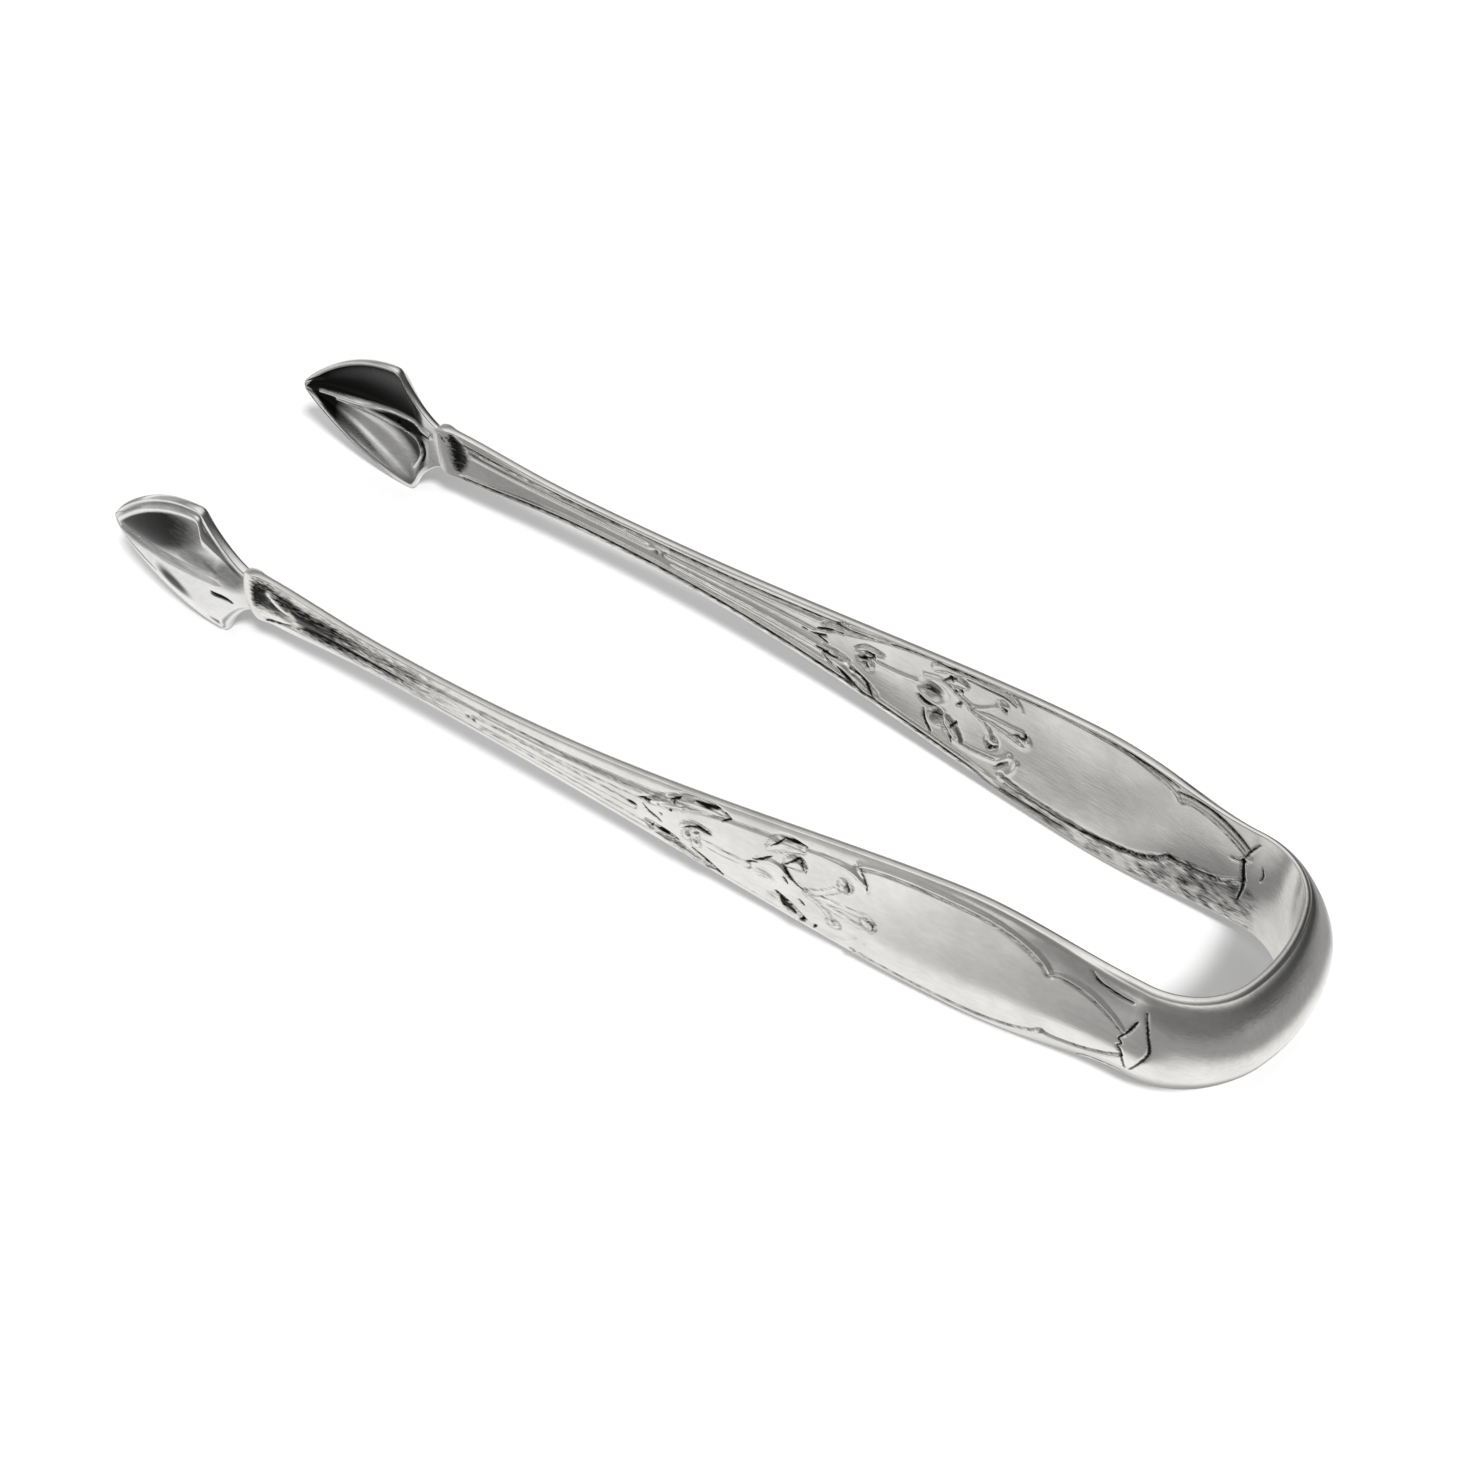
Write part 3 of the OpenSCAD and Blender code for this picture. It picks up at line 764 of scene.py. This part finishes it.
def claw_points(row, across, share, side):
    """Points of a claw, and their dark: painted shade, with patina in the cuts."""
    x = CLAW_X[row]
    half = CLAW_HALF[row]
    z = rounded(across, share, half, EDGE_ROUND)
    behind = NECK_X - x
    along = behind / CLAW_LEN
    full = np.clip(np.sin(np.pi * np.clip(along, 0, 1)), 0, 1) ** FULL_POWER
    bulge = np.clip(1 - across ** 2, 0, 1)
    flange = np.minimum(FLANGE_W * FLANGE_SHARES[0], half * FLANGE_SHARES[1])
    rib = np.minimum(RIB_W * RIB_SHARES[0], half * RIB_SHARES[1])
    p = np.clip((np.abs(z) - rib) / (half - flange - rib), 0, 1)
    pocket = np.sin(np.pi * p ** POCKET_POWERS[0]) ** POCKET_POWERS[1]
    dish = full * (CLAW_DISH * bulge + POCKET_D * pocket * since(behind, *POCKET_START))
    slope = np.abs(np.gradient(CLAW_HALF, CLAW_X))[row]
    inset = (half - np.abs(z)) / np.hypot(1, slope)
    keep = smooth(bulge / CLAW_EDGE_FADE)
    inside = claw_inside(x, z, inset)
    outside = claw_outside(x, z, inset)
    inner = dish - keep * inside.height
    neck = ease(1, 0, behind / BARB_AT)
    stock = EDGE_T + SLIM_CROWN * bulge ** CROWN_POWER
    lip = full * np.exp(-((inset - RIM_LIP_AT) / RIM_LIP_W) ** 2)
    # The gutter beside the lip gets painted shade.
    gutter = full * np.exp(-((inset - GUTTER_AT) / GUTTER_W) ** 2)
    outer = dish + CLAW_T + (stock - CLAW_T) * neck
    outer += keep * outside.height + RIM_LIP_H * lip - GUTTER_D * gutter
    outer_dark = np.maximum(outside.dark, GUTTER_SHADE * gutter)
    dark = keep * np.where(share > 0.5, outer_dark, inside.dark)
    y = BOW_GAP / 2 + SPREAD - TOE_IN * along ** 2
    place = np.stack([x, side * (y + inner + (outer - inner) * share), MID_Z + z], 1)
    return place, dark


def skin(name, rows, place):
    """A closed piece: a grid rolled round the section, welded along its seam and capped."""
    across, share = section_columns()
    bm = bmesh.new()
    bmesh.ops.create_grid(bm, x_segments=len(rows) - 1, y_segments=len(across) - 1, size=0.5)
    # Each point keeps its dark in this layer: patina in the hollows, and painted shade.
    tarnish_and_shade = bm.verts.layers.float.new("tarnish_and_shade")
    grid = np.array([v.co for v in bm.verts])
    i = np.rint((grid[:, 0] + 0.5) * (len(rows) - 1)).astype(int)
    j = np.rint((grid[:, 1] + 0.5) * (len(across) - 1)).astype(int)
    points, dark = place(rows[i], across[j], share[j])
    for vert, point, shade in zip(bm.verts, points * MM, dark):
        vert.co = point
        vert[tarnish_and_shade] = shade
    bmesh.ops.remove_doubles(bm, verts=bm.verts, dist=1e-7)
    for face in bm.faces:
        face.smooth = True
    rims = [e for e in bm.edges if e.is_boundary]
    for edge in rims:
        edge.smooth = False
    caps = bmesh.ops.holes_fill(bm, edges=rims, sides=0)["faces"]
    bmesh.ops.triangulate(bm, faces=caps)
    bmesh.ops.recalc_face_normals(bm, faces=bm.faces)
    mesh = bpy.data.meshes.new(name)
    bm.to_mesh(mesh)
    bm.free()
    piece = bpy.data.objects.new(name, mesh)
    bpy.context.scene.collection.objects.link(piece)
    return piece


def runs(*stops):
    """Stations between stops given as (run, step that follows), closer together at both ends."""
    parts = []
    for (a, step), (b, _) in zip(stops, stops[1:]):
        parts.append(np.linspace(a, b, max(2, round((b - a) / step) + 1))[:-1])
    stations = np.concatenate(parts + [[stops[-1][0]]])
    near = np.array([0.02, 0.05])
    return np.unique(np.concatenate([stations, stops[0][0] + near, stops[-1][0] - near]))


# Materials

# Ranges of a share that rises or falls, and the places of the two values and the result on a mix node
RISE = (0.0, 1.0)
FALL = (1.0, 0.0)
MIX_SOCKETS = {"FLOAT": (2, 3, 0), "RGBA": (6, 7, 2)}


class Wiring:
    """Nodes of a material or of the surroundings, joined up as they are made."""

    def __init__(self, tree):
        self.nodes = tree.nodes
        self.links = tree.links

    def feed(self, socket, value):
        """Give a socket a fixed value, or the output of another node."""
        if isinstance(value, bpy.types.NodeSocket):
            self.links.new(value, socket)
        else:
            socket.default_value = value

    def sums(self, operation, *values, kind="ShaderNodeMath"):
        """A sum over fixed values or outputs."""
        node = self.nodes.new(kind)
        node.operation = operation
        for socket, value in zip(node.inputs, values):
            self.feed(socket, value)
        return node.outputs["Value"]

    def vector(self, operation, *values):
        """A number worked out from vectors."""
        return self.sums(operation, *values, kind="ShaderNodeVectorMath")

    def product(self, first, second):
        """Two values multiplied."""
        return self.sums("MULTIPLY", first, second)

    def ranged(self, value, source, target, curve="SMOOTHSTEP"):
        """A value fitted from one range to another."""
        node = self.nodes.new("ShaderNodeMapRange")
        node.interpolation_type = curve
        names = ("Value", "From Min", "From Max", "To Min", "To Max")
        for name, number in zip(names, (value, *source, *target)):
            self.feed(node.inputs[name], number)
        return node.outputs["Result"]

    def mixed(self, factor, first, second, kind="FLOAT"):
        """The first number or colour, turning into the second as the factor rises."""
        node = self.nodes.new("ShaderNodeMix")
        node.data_type = kind
        start, end, result = MIX_SOCKETS[kind]
        for socket, value in ((0, factor), (start, first), (end, second)):
            self.feed(node.inputs[socket], value)
        return node.outputs[result]

    def either(self, factor, first, second):
        """The first shader, or the second where the factor is 1."""
        node = self.nodes.new("ShaderNodeMixShader")
        for socket, value in zip(node.inputs, (factor, first, second)):
            self.feed(socket, value)
        return node.outputs["Shader"]

    def split(self, vector):
        """X, Y and Z of a vector."""
        node = self.nodes.new("ShaderNodeSeparateXYZ")
        self.feed(node.inputs["Vector"], vector)
        return node.outputs["X"], node.outputs["Y"], node.outputs["Z"]


# Silver: scale and detail of its noises, how far the drawn ones stretch along the tongs, its dark tone for
# patina and painted shade, and the depths of its scratches and dents in metres
CLOUD = (240, 5)
GRAIN = (2600, 3)
SCRATCH = (5200, 4)
GRIT = (7500, 3)
DENT = (170, 2)
GRAIN_STRETCH = (0.45, 1.0, 1.0)
SCRATCH_STRETCH = (0.16, 1.0, 1.0)
GRAIN_SHARE = 0.5
WEAR_SPAN = (0.55, 0.95)
WORN_TONE = 0.85
PATINA_AND_SHADE_TONE = (0.01, 0.0095, 0.009, 1)
PATINA_AND_SHADE_SPAN = (0.06, 0.88)
PATINA_AND_SHADE_ROUGH = 0.12
NOISE_SPAN = (0.3, 0.7)
ROUGH_SHARES = (0.8, 1.3)
SCRATCH_D = 0.00002
DENT_D = 0.00012
DENT_STRENGTH = 0.5


def silver(name, tone, roughness, scratches, speckle):
    """Polished silver, worn and finely scratched, dark where the piece says so: patina, and painted shade.
    """
    material = bpy.data.materials.new(name)
    material.use_nodes = True
    wire = Wiring(material.node_tree)
    shader = wire.nodes["Principled BSDF"]
    shader.inputs["Metallic"].default_value = 1.0
    place = wire.nodes.new("ShaderNodeTexCoord").outputs["Object"]
    attribute = wire.nodes.new("ShaderNodeAttribute")
    attribute.attribute_name = "tarnish_and_shade"
    patina_and_shade = attribute.outputs["Fac"]

    def stretched(scale):
        node = wire.nodes.new("ShaderNodeMapping")
        wire.feed(node.inputs["Scale"], scale)
        wire.feed(node.inputs["Vector"], place)
        return node.outputs["Vector"]

    def noise(size, vector):
        node = wire.nodes.new("ShaderNodeTexNoise")
        for socket, value in zip(("Scale", "Detail", "Vector"), (*size, vector)):
            wire.feed(node.inputs[socket], value)
        return node.outputs["Fac"]

    def bump(height, strength, depth):
        node = wire.nodes.new("ShaderNodeBump")
        for socket, value in zip(("Strength", "Distance", "Height"), (strength, depth, height)):
            wire.feed(node.inputs[socket], value)
        return node

    def fitted(value, source, target):
        return wire.ranged(value, source, target, "LINEAR")

    drawn = stretched(SCRATCH_STRETCH)
    cloud = noise(CLOUD, place)
    grain = noise(GRAIN, stretched(GRAIN_STRETCH))
    grit = noise(GRIT, drawn)

    wear = wire.sums("MULTIPLY_ADD", grain, GRAIN_SHARE, cloud)
    worn_tone = tuple(WORN_TONE * c for c in tone[:3]) + (1,)
    bright = wire.mixed(fitted(wear, WEAR_SPAN, RISE), tone, worn_tone, "RGBA")
    partly = wire.product(patina_and_shade, wire.sums("SUBTRACT", 1.0, patina_and_shade))
    speck = wire.product(fitted(grit, NOISE_SPAN, (-speckle, speckle)), partly)
    # The dark from the piece, patina and painted shade, turns the tone towards near black.
    grime_and_shade = fitted(wire.sums("ADD", patina_and_shade, speck), PATINA_AND_SHADE_SPAN, RISE)
    wire.feed(shader.inputs["Base Color"], wire.mixed(grime_and_shade, bright, PATINA_AND_SHADE_TONE, "RGBA"))

    polish = fitted(cloud, NOISE_SPAN, tuple(roughness * share for share in ROUGH_SHARES))
    wire.feed(shader.inputs["Roughness"], wire.sums("MULTIPLY_ADD", grime_and_shade, PATINA_AND_SHADE_ROUGH, polish))

    fine = bump(noise(SCRATCH, drawn), scratches, SCRATCH_D)
    soft = bump(noise(DENT, place), DENT_STRENGTH, DENT_D)
    wire.feed(soft.inputs["Normal"], fine.outputs["Normal"])
    wire.feed(shader.inputs["Normal"], soft.outputs["Normal"])
    return material


arm_silver = silver("arm_silver", (0.80, 0.79, 0.765, 1), 0.2, 0.28, 1.5)
bow_silver = silver("bow_silver", (0.80, 0.79, 0.765, 1), 0.19, 0.4, 1.5)
claw_silver = silver("claw_silver", (0.79, 0.785, 0.77, 1), 0.15, 0.3, 0.2)


# Pieces

ARM_RUNS = runs((NECK_X, 0.22), (-31, 0.42), (-14.5, 0.34), (2, 0.12), (12.6, 0.18), (14, 0.105),
                (25.6, 0.34), (38, 0.15), (44.4, 0.075), (47.2, 0.2), (SEAM_RUN, 0.2))
BOW_RUNS = runs((SEAM_RUN, 0.16), (CROWN_RUN, 0.16))
CLAW_ROWS = np.arange(len(CLAW_X))

for word, side in (("left", -1), ("right", 1)):
    body = word + "_side"

    def on_strip(run, across, share):
        return strip_points(run, across, share, side)

    def on_claw(row, across, share):
        return claw_points(row, across, share, side)

    arm = skin(word + "_pressed_arm", ARM_RUNS, on_strip)
    arm.data.materials.append(arm_silver)
    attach(arm, body)
    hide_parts(word + "_arm")

    bow = skin(word + "_half_bow", BOW_RUNS, on_strip)
    bow.data.materials.append(bow_silver)
    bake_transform(bow)
    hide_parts("bow_spring")

    claw = skin(word + "_dished_claw", CLAW_ROWS, on_claw)
    claw.data.materials.append(claw_silver)
    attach(claw, body)
    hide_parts(word + "_claw")


# Camera

AZIMUTH = math.radians(36.119)
ELEVATION = math.radians(45.573)
CAMERA_PLACE = (0.07614, -0.09948, 0.13059)
LENS = 53.255
SENSOR = 36
CLIP_START = 0.005

camera_data = bpy.data.cameras.new("camera")
camera_data.sensor_width = SENSOR
camera_data.lens = LENS
camera_data.clip_start = CLIP_START
camera = bpy.data.objects.new("camera", camera_data)
camera.location = CAMERA_PLACE
camera.rotation_euler = (math.pi / 2 - ELEVATION, 0, AZIMUTH)
bpy.context.scene.collection.objects.link(camera)
bpy.context.scene.camera = camera


# Floor: white paper that keeps the shadow, and fades to pure white far off. In the silver it shows as a
# pool of light round the tongs, on paper of other levels. Places and spans are in metres.
FLOOR_HALF = 1.5
FLOOR_DROP = 0.00003
PAPER_TONE = (0.75, 0.75, 0.75, 1)
FADE_SPAN = (0.25, 0.7)
FADE_SHARE = (0.1, 1.0)

# Line that the pool follows, as its distance from the middle at the claws and at the bow, and how far the
# pool reaches out from it along the arms and round the bow
LINE_ALONG = (-0.04, 0.045)
LINE_OUT = (0.0122, 0.0094)
LINE_EDGE = (-0.001, 0.001)
BOW_ALONG = (0.046, 0.055)
POOL_START = (0.0038, 0.0045)
POOL_END = (0.0055, 0.017)
POOL_LEVEL = 1.05

# How far the pool reaches in between the arms, as start and end of its edge: all along, and more by the
# panels and the flowers
INNER_REACH = (0.0034, 0.0050)
PANEL_REACH = (0.0008, 0.0009)
PANEL_ZONE = ((0.005, 0.02), (0.036, 0.046))
FLOWER_REACH = (0.0018, 0.0022)
FLOWER_ZONE = ((-0.008, 0.002), (0.012, 0.022))
INSIDE_ACROSS = (-0.002, 0.004)
INSIDE_SHARE = (0.2, 0.75)
BOW_INSIDE = (0.0465, 0.0505)
BOW_SHARE = (1.0, 0.7)

# Light between the arms where they run into the bow
ROOT_ZONE = ((0.0305, 0.0335), (0.0415, 0.0445))
ROOT_DEPTH = (-0.0045, -0.003)
ROOT_ALONG = (0.032, 0.042)
ROOT_START = (0.0042, 0.0004)
ROOT_END = (0.0056, 0.0018)
ROOT_SHARE = 0.72

# Levels of the paper round the pool: between the arms, and outside them, where it falls towards the bow
# along a slant and is dim far off by the panels
SIDE_SPAN = (-0.004, 0.004)
BETWEEN_ALONG = (0.0, 0.028)
BETWEEN_LEVEL = (0.36, 0.24)
OUTSIDE_ALONG = (0.011, 0.046)
OUTSIDE_LEVEL = (1.06, 0.38)
OUTSIDE_SLANT = -0.15
SLANT_END = 0.034
SLANT_SHIFT = 0.0018
DIM_ALONG = (0.022, 0.031)
DIM_ACROSS = (0.034, 0.06)
DIM_SHARE = (0.0, 0.5)


def floor_white():
    """White paper for the camera, and the pool of light on it for the silver."""
    material = bpy.data.materials.new("white_paper")
    material.use_nodes = True
    wire = Wiring(material.node_tree)
    wire.nodes.clear()
    out = wire.nodes.new("ShaderNodeOutputMaterial")
    paper = wire.nodes.new("ShaderNodeBsdfDiffuse")
    paper.inputs["Color"].default_value = PAPER_TONE
    glow = wire.nodes.new("ShaderNodeEmission")
    glow.inputs["Strength"].default_value = 1.0
    place = wire.nodes.new("ShaderNodeTexCoord").outputs["Object"]
    far_off = wire.ranged(wire.vector("LENGTH", place), FADE_SPAN, FADE_SHARE)
    seen = wire.either(far_off, paper.outputs["BSDF"], glow.outputs["Emission"])
    x, y, _ = wire.split(place)

    def zone(start, end):
        return wire.product(wire.ranged(x, start, RISE), wire.ranged(x, end, FALL))

    def edge(distance, along, start, end):
        return wire.ranged(distance, (wire.ranged(x, along, start), wire.ranged(x, along, end)), FALL)

    round_bow = wire.nodes.new("ShaderNodeCombineXYZ")
    past = wire.sums("SUBTRACT", x, SHOULDER_X * MM)
    wire.feed(round_bow.inputs["X"], wire.sums("MAXIMUM", past, 0.0))
    wire.feed(round_bow.inputs["Y"], y)
    from_middle = wire.vector("LENGTH", round_bow.outputs["Vector"])
    away = wire.sums("SUBTRACT", from_middle, wire.ranged(x, LINE_ALONG, LINE_OUT))
    panel = zone(*PANEL_ZONE)
    flower = zone(*FLOWER_ZONE)
    reach = []
    for inner, by_panel, by_flower in zip(INNER_REACH, PANEL_REACH, FLOWER_REACH):
        more = wire.sums("ADD", wire.product(panel, by_panel), wire.product(flower, by_flower))
        reach.append(wire.sums("ADD", more, inner))
    inner_edge = wire.ranged(wire.product(away, -1.0), reach, FALL)
    outer_edge = edge(away, BOW_ALONG, POOL_START, POOL_END)
    inside = wire.product(wire.ranged(y, INSIDE_ACROSS, INSIDE_SHARE), wire.ranged(x, BOW_INSIDE, BOW_SHARE))
    outside = wire.sums("MAXIMUM", wire.ranged(away, LINE_EDGE, RISE), inside)
    pool = wire.product(wire.product(outer_edge, inner_edge), outside)
    root = wire.product(zone(*ROOT_ZONE), wire.ranged(away, ROOT_DEPTH, FALL))
    root_light = wire.product(edge(y, ROOT_ALONG, ROOT_START, ROOT_END), ROOT_SHARE)
    lit = wire.mixed(root, pool, root_light)

    wide = wire.sums("ABSOLUTE", y)
    slant = wire.product(wire.sums("MINIMUM", wide, SLANT_END), OUTSIDE_SLANT)
    slanted = wire.sums("ADD", slant, wire.sums("ADD", x, SLANT_SHIFT))
    dim = wire.product(wire.ranged(x, DIM_ALONG, RISE), wire.ranged(wide, DIM_ACROSS, DIM_SHARE))
    beyond = wire.product(wire.ranged(slanted, OUTSIDE_ALONG, OUTSIDE_LEVEL), wire.ranged(dim, RISE, FALL))
    between = wire.ranged(x, BETWEEN_ALONG, BETWEEN_LEVEL)
    around = wire.mixed(wire.ranged(away, SIDE_SPAN, RISE), between, beyond)
    shine = wire.nodes.new("ShaderNodeEmission")
    wire.feed(shine.inputs["Strength"], wire.mixed(lit, around, POOL_LEVEL))
    glossy = wire.nodes.new("ShaderNodeLightPath").outputs["Is Glossy Ray"]
    wire.feed(out.inputs["Surface"], wire.either(glossy, seen, shine.outputs["Emission"]))
    return material


bm = bmesh.new()
bmesh.ops.create_grid(bm, x_segments=1, y_segments=1, size=FLOOR_HALF)
floor_mesh = bpy.data.meshes.new("floor")
bm.to_mesh(floor_mesh)
bm.free()
floor = bpy.data.objects.new("floor", floor_mesh)
floor.location = (0, 0, -FLOOR_DROP)
floor.data.materials.append(floor_white())
bpy.context.scene.collection.objects.link(floor)


# Lamp: one soft square key, which casts the shadow and stays out of the reflections

KEY_PLACE = (0.66, -0.495, 1.1)
KEY_SIZE = 0.2
KEY_POWER = 20.0

key_data = bpy.data.lights.new("key", "AREA")
key_data.size = KEY_SIZE
key_data.energy = KEY_POWER
key = bpy.data.objects.new("key", key_data)
key.location = KEY_PLACE
key_tilt = math.atan2(math.hypot(KEY_PLACE[0], KEY_PLACE[1]), KEY_PLACE[2])
key.rotation_euler = (key_tilt, 0, math.atan2(KEY_PLACE[1], KEY_PLACE[0]) + math.pi / 2)
key.visible_glossy = False
bpy.context.scene.collection.objects.link(key)


# Surroundings: levels by height, a bright window beyond the claws below the ceiling, and a lean of the
# light to one side. The camera sees plain white.
SKY = ((0.0, 0.28), (0.25, 0.26), (0.5, 0.3), (0.62, 0.55), (0.74, 0.95), (1.0, 1.1))
ROOM_SIDE = (-0.1, -0.38, 0)
WINDOW_SPAN = (-0.06, -0.44)
WINDOW_LEVEL = (0.6, 1.9)
CEILING_SPAN = (0.3, 0.52)
CEILING_LEVEL = 0.9


def studio():
    """Light of the room, as the silver sees it."""
    world = bpy.data.worlds.new("studio")
    world.use_nodes = True
    wire = Wiring(world.node_tree)
    room = wire.nodes["Background"]
    look = wire.nodes.new("ShaderNodeTexCoord").outputs["Generated"]
    x, _, z = wire.split(look)
    ramp = wire.nodes.new("ShaderNodeValToRGB")
    stops = ramp.color_ramp.elements
    for stop in range(len(SKY) - 2):
        stops.new(0.5)
    for stop, (spot, level) in zip(stops, SKY):
        stop.position = spot
        stop.color = (level, level, level, 1)
    wire.feed(ramp.inputs["Fac"], z)
    wire.feed(room.inputs["Color"], ramp.outputs["Color"])
    window = wire.ranged(x, WINDOW_SPAN, WINDOW_LEVEL)
    wall = wire.mixed(wire.ranged(z, CEILING_SPAN, RISE), window, CEILING_LEVEL)
    lean = wire.vector("DOT_PRODUCT", look, ROOM_SIDE)
    wire.feed(room.inputs["Strength"], wire.sums("ADD", lean, wall))
    white = wire.nodes.new("ShaderNodeBackground")
    white.inputs["Color"].default_value = (1, 1, 1, 1)
    camera_ray = wire.nodes.new("ShaderNodeLightPath").outputs["Is Camera Ray"]
    shown = wire.either(camera_ray, room.outputs["Background"], white.outputs["Background"])
    wire.feed(wire.nodes["World Output"].inputs["Surface"], shown)
    return world


bpy.context.scene.world = studio()

bpy.context.scene.view_settings.view_transform = "Standard"
